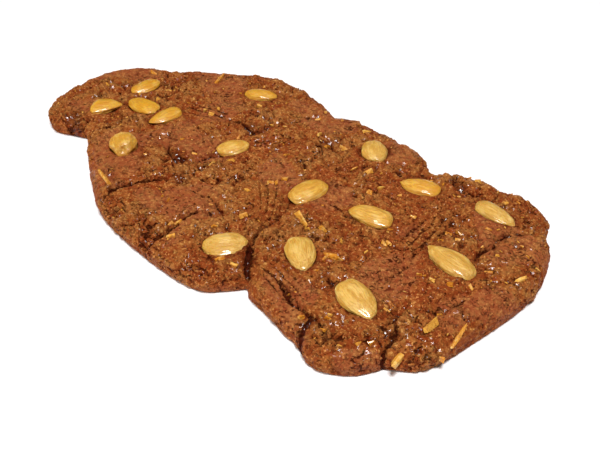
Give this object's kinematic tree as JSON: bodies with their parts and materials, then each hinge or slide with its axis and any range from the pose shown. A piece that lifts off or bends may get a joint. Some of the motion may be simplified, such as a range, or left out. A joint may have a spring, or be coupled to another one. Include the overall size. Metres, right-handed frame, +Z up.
{
  "type": "speculaas figure cookie",
  "caption": "Large flat brown spiced dough figure with head, shoulders, pinched waist and wide base, topped with pressed-in blanched almonds and a hazelnut; rests flat.",
  "frame": {"origin": "middle of the outline's box, on the flat base that the cookie rests on", "axes": "+Z up out of the nut-studded face, +X from the head to the wide base along the figure's length, +Y to the right seen from above with the head at the top"},
  "size_m": [0.352, 0.185, 0.0206],
  "materials": {
    "dough": "baked crumb, dull with a thin glaze",
    "nut": "glazed blanched nut"
  },
  "bodies": {
    "root": {"dough": "dough", "almond_head_back": "nut", "almond_head_left": "nut", "almond_head_middle": "nut", "almond_head_front": "nut", "almond_chest_right": "nut", "hazelnut_chest_left": "nut", "almond_chest_middle": "nut", "almond_waist_right": "nut", "almond_waist_middle": "nut", "almond_skirt_right": "nut", "almond_skirt_middle": "nut", "almond_foot_right": "nut", "almond_waist_left": "nut", "almond_skirt_left": "nut", "almond_base_middle": "nut", "almond_foot_left": "nut"}
  },
  "joints": []
}
